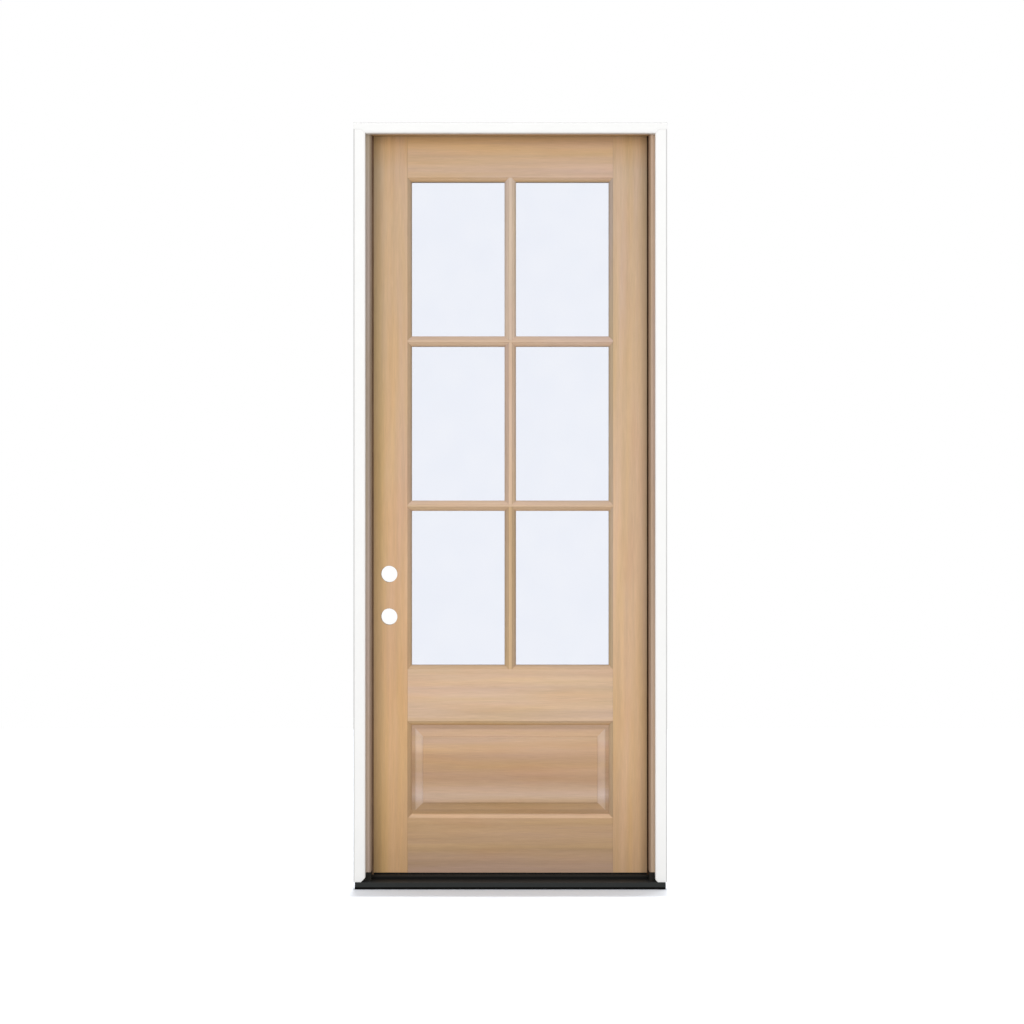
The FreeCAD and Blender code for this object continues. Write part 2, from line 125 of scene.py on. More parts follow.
def evenly(size):
    return [1 / size] * 3


def axes(tree, vector):
    return addNode(tree, "ShaderNodeSeparateXYZ", None, {0: vector}).outputs


def ownSpace(tree):
    # in the object's own coordinates, Object is the place and Normal the way that a face looks
    return addNode(tree, "ShaderNodeTexCoord").outputs


def newFinish(name):
    finish = bpy.data.materials.new(name)
    finish.use_nodes = True
    return finish, finish.node_tree, finish.node_tree.nodes["Principled BSDF"]


def coat(tree, shader, colour, rough):
    tree.links.new(colour, shader.inputs["Base Color"])
    tree.links.new(rough, shader.inputs["Roughness"])


def addBump(tree, shader, height, strength, distance):
    inputs = {"Height": height, "Strength": strength, "Distance": distance}
    bump = addNode(tree, "ShaderNodeBump", None, inputs)
    tree.links.new(bump.outputs["Normal"], shader.inputs["Normal"])


# wood: each board is cut from its own trunk, so rings show on faces and on end grain alike
woodGrain = {
    "trunkAway": 0.55,                  # from the board to the heart of the trunk, metres
    "trunkStep": (0.037, 0.021, 1.73),  # from one board's trunk to the next
    "swayScale": (9, 9, 1.3),
    "wander": 0.012,
    "ringPitch": 0.0036,
    "ringSharpness": 2.2,
    "ringDepth": 0.13,
    "bandDepth": 0.10,
    "bandLift": 0.012,                  # how far bands shift the tones along a board
    "bandDrift": 0.008,                 # and the painted shadow of the frame at a stile's outer edge
    "fibreDepth": 0.12,
    "strawTint": (1.00, 0.985, 0.90, 1.0),
    "pinkTint": (0.99, 0.985, 1.10, 1.0),
    "rustTint": (1.00, 0.965, 0.94, 1.0),
    # painted shade, warmed as if by light bounced off wood, on faces that look down
    "underTint": (1.0, 0.95, 0.77, 1.0),
    "endShade": 0.66,
    "shine": 0.28,
    "roughRange": (0.52, 0.68),
    "ringRelief": -0.35,
    "bumpStrength": 0.35,
    "bumpHeight": 0.00012,
}
# noises of the figure: size across and along the grain, place and roughness
woodNoises = {
    "bands": {"size": (0.026, 0.95), "shift": (0, 0, 0), "rough": 0.55},
    "hues": {"size": (0.040, 0.70), "shift": (7.1, 3.3, 2.9), "rough": 0.50},
    "fibres": {"size": (0.0010, 0.060), "shift": (0, 0, 0), "rough": 0.60},
    "rust": {"size": (0.050, 0.32), "shift": (2.3, 8.7, 5.1), "rough": 0.50},
}
noiseSpans = {"bands": (0.25, 0.75), "hues": (0.3, 0.7), "fibres": (0.2, 0.8), "rust": (0.50, 0.68)}
# how far a face has to turn for a tint to show on it; most of these tints are painted light and shade
turnSpans = {
    "end": (0.75, 1.0), "under": (-0.75, -0.45), "lip": (0.90, 0.96), "top": (0.30, 0.60),
    "bevelEnd": (0.10, 0.25), "bevelLow": (-0.25, -0.10),
}
grainTurns = {"upright": (0, 0, 0), "level": (0, math.radians(90), 0)}
toneReach = 2.5     # metres that a ramp of tones covers
waveRate = 20       # radians a metre in the wave node


def toneAlong(tree, height, stops):
    # blend of screen tones written as (height in metres, tone), from low to high
    share = calc(tree, "DIVIDE", height, toneReach)
    ramp = addNode(tree, "ShaderNodeValToRGB", None, {"Fac": share})
    steps = ramp.color_ramp.elements
    steps[0].position, steps[0].color = stops[0][0] / toneReach, toLinear(stops[0][1])
    steps[1].position, steps[1].color = stops[-1][0] / toneReach, toLinear(stops[-1][1])
    for level, tone in stops[1:-1]:
        steps.new(level / toneReach).color = toLinear(tone)
    return ramp.outputs["Color"]


def woodFigure(tree, place, board):
    # rings and noises of one board, bent a little along its trunk
    look, seed = woodGrain, board["seed"]
    step = look["trunkStep"]
    shift = (look["trunkAway"] + step[0] * seed, step[1] * seed, step[2] * seed)
    trunk = placed(tree, place, shift, grainTurns[board["grain"]])
    sway = speckle(tree, placed(tree, trunk, scale=look["swayScale"]), 1.0, output="Color")
    sway = vectorCalc(tree, "SUBTRACT", {0: sway, 1: (0.5, 0.5, 0.5)})
    sway = vectorCalc(tree, "SCALE", {0: sway, "Scale": look["wander"]})
    bent = vectorCalc(tree, "ADD", {0: trunk, 1: sway})

    settings = {"wave_type": "RINGS", "rings_direction": "Z", "wave_profile": "SAW"}
    scale = 2 * math.pi / waveRate / look["ringPitch"]
    inputs = {"Vector": bent, "Scale": scale, "Distortion": 0.0}
    rings = addNode(tree, "ShaderNodeTexWave", settings, inputs).outputs["Fac"]
    figure = {"rings": calc(tree, "POWER", rings, look["ringSharpness"])}
    for kind, noise in woodNoises.items():
        size = board.get("bandSize", noise["size"]) if kind == "bands" else noise["size"]
        spotted = placed(tree, bent, noise["shift"], scale=acrossGrain(size))
        figure[kind] = speckle(tree, spotted, 2.0, noise["rough"])
    return figure


def paintedLightAndTints(tree, colour, board, spot, facing, bands):
    # painted light and shade on faces that look down, aside or up, and a painted shadow of the frame at the
    # stiles' outer edges; on the panel, paler end bevels and painted shade on the low bevel
    # painted light and shade on faces that look down
    under = falling(tree, facing["Z"], turnSpans["under"])
    colour = tinted(tree, colour, board.get("underTint", woodGrain["underTint"]), under)
    # painted shade on faces turned aside from the front
    if "lipTint" in board:
        aside = falling(tree, calc(tree, "ABSOLUTE", facing["Y"]), turnSpans["lip"])
        colour = tinted(tree, colour, board["lipTint"], aside)
    # painted light and shade on faces that look up
    if "topTint" in board:
        colour = tinted(tree, colour, board["topTint"], rising(tree, facing["Z"], turnSpans["top"]))
    # painted shadow of the frame, darker towards the stiles' outer edges
    if "edge" in board:
        drift = spread(tree, bands, -woodGrain["bandDrift"], woodGrain["bandDrift"])
        outward = calc(tree, "ADD", calc(tree, "ABSOLUTE", spot["X"]), drift)
        colour = tinted(tree, colour, board["edge"]["tint"], rising(tree, outward, board["edge"]["span"]))
    if "panel" in board:
        sideways = rising(tree, calc(tree, "ABSOLUTE", facing["X"]), turnSpans["bevelEnd"])
        colour = tinted(tree, colour, board["panel"]["endBevelTint"], sideways)
        # painted shade on the panel's downward bevel
        downward = falling(tree, facing["Z"], turnSpans["bevelLow"])
        colour = tinted(tree, colour, board["panel"]["lowBevelTint"], downward)
    return colour


def woodLight(tree, board, spot, facing, figure):
    # brightness: rings, bands and fibres, end grain that soaks up light, and painted shade in the panel's
    # groove
    look, rings = woodGrain, figure["rings"]
    light = wavering(tree, figure["bands"], look["bandDepth"], noiseSpans["bands"])
    ringLight = spread(tree, rings, 1 + look["ringDepth"] / 3, 1 - look["ringDepth"])
    light = calc(tree, "MULTIPLY", light, ringLight)
    fibreLight = wavering(tree, figure["fibres"], look["fibreDepth"], noiseSpans["fibres"])
    light = calc(tree, "MULTIPLY", light, fibreLight)
    along = calc(tree, "ABSOLUTE", facing["Z" if board["grain"] == "upright" else "X"])
    light = calc(tree, "MULTIPLY", light, spread(tree, along, 1.0, look["endShade"], *turnSpans["end"]))
    # painted shade in the groove round the panel's field
    if "panel" in board:
        panel = board["panel"]
        deep = calc(tree, "ABSOLUTE", calc(tree, "SUBTRACT", spot["Y"], panel["middle"]))
        grooveShadow = spread(tree, deep, panel["grooveShade"], 1.0, panel["grooveDepth"], panel["grooveEnd"])
        light = calc(tree, "MULTIPLY", light, grooveShadow)
    return light


def woodFinish(name, board):
    look = woodGrain
    finish, tree, shader = newFinish(name)
    space = ownSpace(tree)
    spot, facing = axes(tree, space["Object"]), axes(tree, space["Normal"])
    figure = woodFigure(tree, space["Object"], board)

    hue = rising(tree, figure["hues"], noiseSpans["hues"])
    tint = mixColours(tree, "MIX", hue, look["strawTint"], look["pinkTint"])
    tint = tinted(tree, tint, look["rustTint"], rising(tree, figure["rust"], noiseSpans["rust"]))
    lift = spread(tree, figure["bands"], -look["bandLift"], look["bandLift"])
    height = calc(tree, "ADD", spot["Z"], lift)
    colour = tinted(tree, toneAlong(tree, height, board["tones"]), tint)
    colour = paintedLightAndTints(tree, colour, board, spot, facing, figure["bands"])
    colour = tinted(tree, colour, woodLight(tree, board, spot, facing, figure))

    coat(tree, shader, colour, spread(tree, figure["fibres"], *look["roughRange"]))
    shader.inputs["Specular IOR Level"].default_value = board.get("shine", look["shine"])
    relief = calc(tree, "MULTIPLY", figure["rings"], look["ringRelief"])
    relief = calc(tree, "ADD", relief, figure["fibres"])
    addBump(tree, shader, relief, look["bumpStrength"], look["bumpHeight"])
    return finish


# grain of every wooden board, and its screen tones by height; the darker, warmer tones at the top ends are
# painted shade under the head, and the tones darken towards the foot
panelLook = {
    "endBevelTint": (1.16, 1.27, 1.45, 1.0),    # paler on the bevels at the panel's ends
    # painted shade on the low bevel
    "lowBevelTint": (0.99, 0.98, 0.90, 1.0),
    # painted shade in the groove round the field
    "grooveShade": 0.84, "grooveDepth": 0.0068, "grooveEnd": 0.0085,
    "middle": 0.0938,                           # the panel's own middle, from the frame's outer edge
}
# painted shade on the side faces of the jambs and the bars
jambPaintedShade = (0.66, 0.62, 0.58, 1.0)
barPaintedShade = (0.85, 0.86, 0.88, 1.0)
# painted light and shade on the level bars' top and under faces
levelBarPaintedLight = {"topTint": (0.93, 0.95, 1.04, 1.0), "underTint": (1.12, 1.07, 0.96, 1.0)}
boards = {
    "lock_stile": {
        "grain": "upright", "seed": 1, "lipTint": (0.74, 0.77, 0.80, 1.0),
        # painted shadow of the frame along the stile's outer edge
        "edge": {"span": (0.398, 0.428), "tint": (0.86, 0.89, 0.78, 1.0)},
        "tones": [(0.10, (194, 157, 113)), (0.45, (213, 174, 129)), (0.90, (213, 177, 137)),
                  (2.34, (205, 176, 146)), (2.44, (202, 165, 122))],
    },
    "hinge_stile": {
        "grain": "upright", "seed": 2, "lipTint": (0.78, 0.85, 0.94, 1.0),
        "edge": {"span": (0.412, 0.440), "tint": (0.89, 0.89, 0.86, 1.0)},
        "tones": [(0.10, (196, 161, 123)), (0.45, (213, 178, 137)), (0.90, (214, 181, 143)),
                  (2.34, (203, 177, 149)), (2.44, (202, 167, 126))],
    },
    "top_rail": {
        "grain": "level", "seed": 3,
        # painted shade at the top end, under the head
        "tones": [(2.30, (209, 180, 153)), (2.38, (207, 177, 147)), (2.44, (207, 169, 122))],
    },
    "middle_rail": {
        # painted shade on the middle rail's upward faces
        "grain": "level", "seed": 4, "topTint": (0.91, 0.90, 0.85, 1.0),
        "tones": [(0.55, (209, 180, 149)), (0.69, (210, 181, 151))],
    },
    "bottom_rail": {
        # painted light on the bottom rail's upward faces
        "grain": "level", "seed": 5, "topTint": (1.24, 1.31, 1.50, 1.0),
        "tones": [(0.05, (173, 144, 119)), (0.20, (188, 155, 118))],
    },
    "raised_panel": {
        "grain": "level", "seed": 6, "bandSize": (0.05, 1.3), "panel": panelLook,
        "tones": [(0.262, (187, 154, 119)), (0.290, (201, 174, 152)), (0.345, (186, 151, 117)),
                  (0.43, (195, 160, 127)), (0.475, (203, 171, 141))],
    },
    "horizontal_bar_1": {
        "grain": "level", "seed": 7, **levelBarPaintedLight,
        "tones": [(1.2, (214, 187, 161)), (1.8, (214, 187, 161))],
    },
    "horizontal_bar_2": {
        "grain": "level", "seed": 8, **levelBarPaintedLight,
        "tones": [(1.2, (211, 183, 153)), (1.8, (211, 183, 153))],
    },
    "vertical_bar_1": {
        "grain": "upright", "seed": 9,
        "tones": [(1.8, (209, 188, 166)), (2.3, (207, 187, 166))],
    },
    "vertical_bar_2": {
        "grain": "upright", "seed": 10, "lipTint": barPaintedShade,
        "tones": [(1.2, (213, 185, 157)), (1.8, (211, 184, 158))],
    },
    "vertical_bar_3": {
        "grain": "upright", "seed": 11, "lipTint": barPaintedShade,
        "tones": [(0.7, (204, 174, 136)), (1.2, (202, 174, 139))],
    },
    "upright_beads": {
        "grain": "upright", "seed": 12,
        "tones": [(0.7, (208, 176, 144)), (2.3, (206, 177, 149))],
    },
    "level_beads": {
        "grain": "level", "seed": 13,
        "tones": [(0.7, (208, 177, 146)), (2.3, (206, 177, 149))],
    },
    # the strike jamb's darker tones are painted shade on that side
    "strike_jamb": {
        "grain": "upright", "seed": 14, "lipTint": jambPaintedShade,
        "tones": [(0.1, (179, 161, 143)), (2.4, (179, 165, 150))],
    },
    "hinge_jamb": {
        "grain": "upright", "seed": 15, "lipTint": jambPaintedShade,
        "tones": [(0.1, (190, 167, 146)), (2.4, (198, 173, 150))],
    },
    "head_jamb": {
        "grain": "level", "seed": 16,
        "tones": [(2.4, (196, 165, 128)), (2.5, (200, 172, 144))],
    },
    "sill_base": {
        "grain": "level", "seed": 17, "shine": 0.03,
        "tones": [(0.0, (18, 18, 18)), (0.03, (22, 22, 22))],
    },
}
finishes = {}
for node, board in boards.items():
    finishes[node] = woodFinish(node + "_wood", board)
print("wood finishes:", len(finishes))


primer = {
    "tone": (246, 246, 245), "patchSize": 0.12, "patchDepth": 0.02, "patchSpan": (0.3, 0.7),
    "stipple": (0.0016, 0.08), "roughRange": (0.42, 0.58), "shine": 0.3,
    "bumpStrength": 0.25, "bumpHeight": 0.0001,
    "chamferShade": {"upright": 0.74, "level": 0.50},   # painted shade on the outer chamfer, so the casing's outline reads
    "chamferStart": (0.35, 0.55), "chamferEnd": (0.80, 0.95),
}


def primerFinish(name, grain):
    look = primer
    finish, tree, shader = newFinish(name)
    space = ownSpace(tree)
    board = placed(tree, space["Object"], turn=grainTurns[grain])
    patches = speckle(tree, placed(tree, board, scale=evenly(look["patchSize"])), 3.0)
    raised = speckle(tree, placed(tree, board, scale=acrossGrain(look["stipple"])), 3.0, 0.6)
    shade = spread(tree, patches, 1 - look["patchDepth"], 1.0, *look["patchSpan"])
    facing = axes(tree, space["Normal"])
    outward = facing["Z"]
    if grain == "upright":
        side = calc(tree, "SIGN", axes(tree, space["Object"])["X"])
        outward = calc(tree, "MULTIPLY", facing["X"], side)
    # painted shade on the outer chamfer
    turned = rising(tree, outward, look["chamferStart"])
    slanted = calc(tree, "MINIMUM", turned, falling(tree, outward, look["chamferEnd"]))
    shade = calc(tree, "MULTIPLY", shade, spread(tree, slanted, 1.0, look["chamferShade"][grain]))
    colour = tinted(tree, toLinear(look["tone"]), shade)
    coat(tree, shader, colour, spread(tree, raised, *look["roughRange"]))
    shader.inputs["Specular IOR Level"].default_value = look["shine"]
    addBump(tree, shader, raised, look["bumpStrength"], look["bumpHeight"])
    return finish


anodised = {
    # the darker rear tone is painted shade towards the door
    "noseTone": (51, 53, 53), "rearTone": (24, 24, 23), "noseToRear": (-0.030, 0.040),
    "streak": (0.5, 0.0008), "streakDepth": 0.22, "streakSpan": (0.25, 0.75),
    "roughRange": (0.50, 0.66), "shine": 0.05, "bumpStrength": 0.15, "bumpHeight": 0.00005,
}


def anodisedFinish(name):
    look = anodised
    finish, tree, shader = newFinish(name)
    place = ownSpace(tree)["Object"]
    along, across = look["streak"]
    drawn = placed(tree, place, scale=(1 / along, 1 / across, 1 / across))
    streaks = speckle(tree, drawn, 3.0, 0.6)
    # painted shade: the deck darkens from the nose towards the door
    rearShadeShare = rising(tree, axes(tree, place)["Y"], look["noseToRear"])
    colour = mixColours(tree, "MIX", rearShadeShare, toLinear(look["noseTone"]), toLinear(look["rearTone"]))
    colour = tinted(tree, colour, wavering(tree, streaks, look["streakDepth"], look["streakSpan"]))
    coat(tree, shader, colour, spread(tree, streaks, *look["roughRange"]))
    shader.inputs["Specular IOR Level"].default_value = look["shine"]
    addBump(tree, shader, streaks, look["bumpStrength"], look["bumpHeight"])
    return finish


# bare metals, with brush marks across and along their length
metals = {
    "satinSteel": {"tone": (176, 173, 166), "streak": (0.0006, 0.03), "depth": 0.14, "rough": (0.26, 0.40)},
    "screwSteel": {"tone": (138, 134, 126), "streak": (0.0006, 0.0006), "depth": 0.10, "rough": (0.34, 0.46)},
    "millSpacer": {"tone": (186, 188, 190), "streak": (0.0008, 0.02), "depth": 0.10, "rough": (0.30, 0.44)},
}
metalRelief = {"span": (0.25, 0.75), "bumpStrength": 0.12, "bumpHeight": 0.00004}


def metalFinish(name):
    look = metals[name]
    finish, tree, shader = newFinish(name)
    place = ownSpace(tree)["Object"]
    streaks = speckle(tree, placed(tree, place, scale=acrossGrain(look["streak"])), 2.0, 0.6)
    shade = wavering(tree, streaks, look["depth"], metalRelief["span"])
    coat(tree, shader, tinted(tree, toLinear(look["tone"]), shade), spread(tree, streaks, *look["rough"]))
    shader.inputs["Metallic"].default_value = 1.0
    addBump(tree, shader, streaks, metalRelief["bumpStrength"], metalRelief["bumpHeight"])
    return finish


# plastic, foam and rubber, pebbled and slightly clouded
mouldedLooks = {
    "threshold_plastic": {
        "tone": (38, 36, 33), "pebble": 0.0012, "depth": 0.16, "rough": (0.48, 0.64), "bump": 0.00006,
    },
    "seal_foam": {
        "tone": (66, 47, 33), "pebble": 0.0009, "depth": 0.30, "rough": (0.80, 0.95), "bump": 0.00020,
    },
    # a lit copy of the seal foam: painted light on the strike side's seal
    "pale_foam": {
        "tone": (118, 94, 74), "pebble": 0.0009, "depth": 0.30, "rough": (0.80, 0.95), "bump": 0.00020,
    },
    "sweep_rubber": {
        "tone": (32, 31, 31), "pebble": 0.0007, "depth": 0.18, "rough": (0.62, 0.80), "bump": 0.00008,
    },
}
moulding = {"cloudScale": (14, 14, 14), "span": (0.3, 0.7), "shine": 0.08, "bumpStrength": 0.3}


def mouldedFinish(name):
    look = mouldedLooks[name]
    finish, tree, shader = newFinish(name)
    place = ownSpace(tree)["Object"]
    pebbles = speckle(tree, placed(tree, place, scale=evenly(look["pebble"])), 2.0, 0.6)
    clouds = speckle(tree, placed(tree, place, scale=moulding["cloudScale"]), 3.0)
    shade = calc(tree, "ADD", calc(tree, "MULTIPLY", pebbles, 0.5), calc(tree, "MULTIPLY", clouds, 0.5))
    shade = wavering(tree, shade, look["depth"], moulding["span"])
    coat(tree, shader, tinted(tree, toLinear(look["tone"]), shade), spread(tree, pebbles, *look["rough"]))
    shader.inputs["Specular IOR Level"].default_value = moulding["shine"]
    addBump(tree, shader, pebbles, moulding["bumpStrength"], look["bump"])
    return finish


glass = {
    "tint": (0.925, 0.938, 0.974, 1.0), "deepTint": (0.915, 0.930, 0.970, 1.0),
    "rollerWave": 0.11, "waveSpan": (0.3, 0.7), "bend": 1.5,
}


def glassFinish(name):
    finish, tree, shader = newFinish(name)
    place = ownSpace(tree)["Object"]
    waves = speckle(tree, placed(tree, place, scale=evenly(glass["rollerWave"])), 1.0)
    share = rising(tree, waves, glass["waveSpan"])
    colour = mixColours(tree, "MIX", share, glass["tint"], glass["deepTint"])
    tree.links.new(colour, shader.inputs["Base Color"])
    shader.inputs["Transmission Weight"].default_value = 1.0
    shader.inputs["Roughness"].default_value = 0.0
    shader.inputs["IOR"].default_value = glass["bend"]
    return finish


slotFinishes = {
    "sill_metal": anodisedFinish("darkAnodised"),
    "hinge_metal": metalFinish("satinSteel"),
    "spacer_metal": metalFinish("millSpacer"),
    "clear_glass": glassFinish("clearGlass"),
}
for name in mouldedLooks:
    slotFinishes[name] = mouldedFinish(name)
# the strike side's seal takes the lit copy of the seal foam, painted light
finishes["strike_weatherstrip"] = slotFinishes["pale_foam"]
finishes["strike_casing"] = primerFinish("uprightPrimer", "upright")
finishes["hinge_casing"] = finishes["strike_casing"]
finishes["head_casing"] = primerFinish("levelPrimer", "level")
for node, slotName in slotOf.items():
    finishes.setdefault(node, slotFinishes.get(slotName))
for node, piece in frame["nodes"].items():
    piece.data.materials.clear()
    piece.data.materials.append(finishes[node])
print("finishes on all CAD nodes")


# boards and metal with softened arrises stand for the sharp CAD nodes
arrises = {
    "lock_stile": 0.0008, "hinge_stile": 0.0008, "top_rail": 0.0005, "middle_rail": 0.0005,
    "bottom_rail": 0.0005, "raised_panel": 0.0006, "horizontal_bar_1": 0.0005, "horizontal_bar_2": 0.0005,
    "vertical_bar_1": 0.0005, "vertical_bar_2": 0.0005, "vertical_bar_3": 0.0005,
    "upright_beads": 0.0005, "level_beads": 0.0005,
    "strike_jamb": 0.0009, "hinge_jamb": 0.0009, "head_jamb": 0.0009,
    "strike_casing": 0.0012, "hinge_casing": 0.0012, "head_casing": 0.0012,
    "sill_deck": 0.0008, "threshold_cap": 0.0006, "sill_end_blocks": 0.0008,
}
hingeArrises = {"jamb_hinge_leaf_%d": 0.0003, "door_hinge_leaf_%d": 0.0003, "hinge_pin_%d": 0.0006}
hingeNumbers = range(1, 5)
for number in hingeNumbers:
    arrises.update({name % number: width for name, width in hingeArrises.items()})
easing = {"segments": 2, "sharpFrom": 32, "weld": 2e-6, "flatWithin": 0.3}     # angles in degrees
sharpAngles = {"raised_panel": 8}      # its shallow bevels meet in crisp mitres
stopRound = {"nodes": ("strike_jamb", "hinge_jamb"), "radius": 0.009, "segments": 6, "reach": 1e-4}


def pieceName(node):
    first, *rest = node.split("_")
    return first + "".join(word.capitalize() for word in rest)


def roundStop(shell):
    # the front corner of the door stop, the innermost upright edge at the jamb's front
    innermost = min(abs(point.co.x) for point in shell.verts)

    def atCorner(point):
        return abs(abs(point.co.x) - innermost) + abs(point.co.y) < stopRound["reach"]

    corner = [edge for edge in shell.edges if all(atCorner(end) for end in edge.verts)]
    bmesh.ops.bevel(shell, geom=corner, offset=stopRound["radius"], segments=stopRound["segments"],
                    profile=0.5, affect="EDGES")


def easedCopy(node, width):
    shell = bmesh.new()
    shell.from_mesh(frame["nodes"][node].data)
    bmesh.ops.remove_doubles(shell, verts=shell.verts, dist=easing["weld"])
    flat = math.radians(easing["flatWithin"])
    bmesh.ops.dissolve_limit(shell, angle_limit=flat, verts=shell.verts, edges=shell.edges)
    if node in stopRound["nodes"]:
        roundStop(shell)
    mesh = bpy.data.meshes.new(pieceName(node))
    shell.to_mesh(mesh)
    shell.free()
    mesh.shade_smooth()
    mesh.set_sharp_from_angle(angle=math.radians(sharpAngles.get(node, easing["sharpFrom"])))
    mesh.materials.append(finishes[node])
    piece = bpy.data.objects.new(pieceName(node), mesh)
    scene.collection.objects.link(piece)
    bevel = piece.modifiers.new("easedArris", "BEVEL")
    bevel.width = width
    bevel.segments = easing["segments"]
    bevel.limit_method = "ANGLE"
    bevel.angle_limit = math.radians(easing["sharpFrom"])
    bevel.use_clamp_overlap = False
    bevel.harden_normals = True
    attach(piece, bodyOf[node])
    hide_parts(node)


for node, width in arrises.items():
    easedCopy(node, width)
print("eased pieces:", len(arrises))


# screw heads, set on points by one Geometry Nodes tree
screws = {
    "hinge": {"Head Radius": 0.0042, "Head Rise": 0.00025,
              "Slot Length": 0.0046, "Slot Width": 0.0009, "Slot Depth": 0.0002},
    "threshold": {"Head Radius": 0.0048, "Head Rise": 0.00025,
                  "Slot Length": 0.0056, "Slot Width": 0.0011, "Slot Depth": 0.0002},
    "crownShare": 0.86,
    "sides": 24,
    "leafGap": 0.005,                       # from the door's edge to the jamb leaf
    "upLeaf": (0.125, 0.375, 0.625, 0.875),
    "intoLeaf": (0.0096, 0.0256),
    "thresholdCount": 5,
    "thresholdEnd": 0.07,
    "thresholdInto": 0.039,
}


def screwTree():
    tree = bpy.data.node_groups.new("countersunkHeads", "GeometryNodeTree")
    sockets = {}

    def addInput(label, kind):
        socket = tree.interface.new_socket(label, in_out="INPUT", socket_type=kind)
        sockets[label] = socket.identifier

    addInput("Geometry", "NodeSocketGeometry")
    for label in screws["hinge"]:
        addInput(label, "NodeSocketFloat")
    addInput("Seed", "NodeSocketInt")
    addInput("Finish", "NodeSocketMaterial")
    tree.interface.new_socket("Geometry", in_out="OUTPUT", socket_type="NodeSocketGeometry")
    given = addNode(tree, "NodeGroupInput").outputs

    # a low cone with a crossed slot
    crown = calc(tree, "MULTIPLY", given["Head Radius"], screws["crownShare"])
    cone = {"Vertices": screws["sides"], "Radius Top": crown, "Radius Bottom": given["Head Radius"],
            "Depth": given["Head Rise"]}
    head = addNode(tree, "GeometryNodeMeshCone", None, cone).outputs["Mesh"]
    depth = calc(tree, "MULTIPLY", given["Slot Depth"], 2.0)
    size = {"X": given["Slot Length"], "Y": given["Slot Width"], "Z": depth}
    size = addNode(tree, "ShaderNodeCombineXYZ", None, size).outputs[0]
    bar = addNode(tree, "GeometryNodeMeshCube", None, {"Size": size}).outputs["Mesh"]
    top = addNode(tree, "ShaderNodeCombineXYZ", None, {"Z": given["Head Rise"]}).outputs[0]
    cutting = {"operation": "DIFFERENCE", "solver": "EXACT"}
    slotted = addNode(tree, "GeometryNodeMeshBoolean", cutting, {"Mesh 1": head})
    for turn in (0, math.radians(90)):
        move = {"Geometry": bar, "Translation": top, "Rotation": (0, 0, turn)}
        moved = addNode(tree, "GeometryNodeTransform", None, move).outputs["Geometry"]
        tree.links.new(moved, slotted.inputs["Mesh 2"])

    # each head faces out of its surface and is turned by chance
    named = {"data_type": "FLOAT_VECTOR"}
    facing = addNode(tree, "GeometryNodeInputNamedAttribute", named, {"Name": "facing"}).outputs[0]
    aimed = addNode(tree, "FunctionNodeAlignRotationToVector", {"axis": "Z"}, {"Vector": facing}).outputs[0]
    chance = {2: 0.0, 3: 2 * math.pi, "Seed": given["Seed"]}
    angle = addNode(tree, "FunctionNodeRandomValue", {"data_type": "FLOAT"}, chance).outputs[1]
    spin = {"Axis": (0, 0, 1), "Angle": angle}
    spin = addNode(tree, "FunctionNodeAxisAngleToRotation", None, spin).outputs[0]
    turned = {"Rotation": aimed, "Rotate By": spin}
    turned = addNode(tree, "FunctionNodeRotateRotation", {"rotation_space": "LOCAL"}, turned).outputs[0]
    onPoints = {"Points": given["Geometry"], "Instance": slotted.outputs["Mesh"], "Rotation": turned}
    heads = addNode(tree, "GeometryNodeInstanceOnPoints", None, onPoints).outputs["Instances"]
    real = addNode(tree, "GeometryNodeRealizeInstances", None, {"Geometry": heads}).outputs["Geometry"]
    coated = {"Geometry": real, "Material": given["Finish"]}
    coated = addNode(tree, "GeometryNodeSetMaterial", None, coated).outputs["Geometry"]
    addNode(tree, "NodeGroupOutput", None, {"Geometry": coated})
    return tree, sockets


headTree, headSockets = screwTree()
screwFinish = metalFinish("screwSteel")


def setScrews(name, body, sizes, spots, seed):
    # spots are (place, facing) pairs; the finished mesh is plain and stands at the origin
    points = bpy.data.meshes.new(name + "Points")
    points.from_pydata([place for place, facing in spots], [], [])
    facings = points.attributes.new("facing", "FLOAT_VECTOR", "POINT")
    facings.data.foreach_set("vector", [part for place, facing in spots for part in facing])
    carrier = bpy.data.objects.new(name + "Points", points)
    scene.collection.objects.link(carrier)
    setter = carrier.modifiers.new("screwHeads", "NODES")
    setter.node_group = headTree
    for label, value in {**sizes, "Seed": seed, "Finish": screwFinish}.items():
        setter[headSockets[label]] = value
    ready = carrier.evaluated_get(bpy.context.evaluated_depsgraph_get())
    mesh = bpy.data.meshes.new_from_object(ready)
    mesh.name = name
    bpy.data.objects.remove(carrier)
    bpy.data.meshes.remove(points)
    piece = bpy.data.objects.new(name, mesh)
    scene.collection.objects.link(piece)
    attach(piece, body)


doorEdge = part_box("hinge_stile")[1][0]
jambLeafSpots, doorLeafSpots = [], []
for number in hingeNumbers:
    low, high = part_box("jamb_hinge_leaf_%d" % number)
    for place, share in enumerate(screws["upLeaf"]):
        into = low[1] + screws["intoLeaf"][place % 2]
        up = low[2] + share * (high[2] - low[2])
        jambLeafSpots.append(((doorEdge + screws["leafGap"], into, up), (-1, 0, 0)))
        doorLeafSpots.append(((doorEdge, into, up), (1, 0, 0)))
capLow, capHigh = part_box("threshold_cap")
firstSpot, lastSpot = capLow[0] + screws["thresholdEnd"], capHigh[0] - screws["thresholdEnd"]
capSpots = []
for place in range(screws["thresholdCount"]):
    across = firstSpot + (lastSpot - firstSpot) * place / (screws["thresholdCount"] - 1)
    capSpots.append(((across, capLow[1] + screws["thresholdInto"], capHigh[2]), (0, 0, 1)))
setScrews("jambHingeScrews", "frame", screws["hinge"], jambLeafSpots, 3)
setScrews("doorHingeScrews", "door", screws["hinge"], doorLeafSpots, 5)
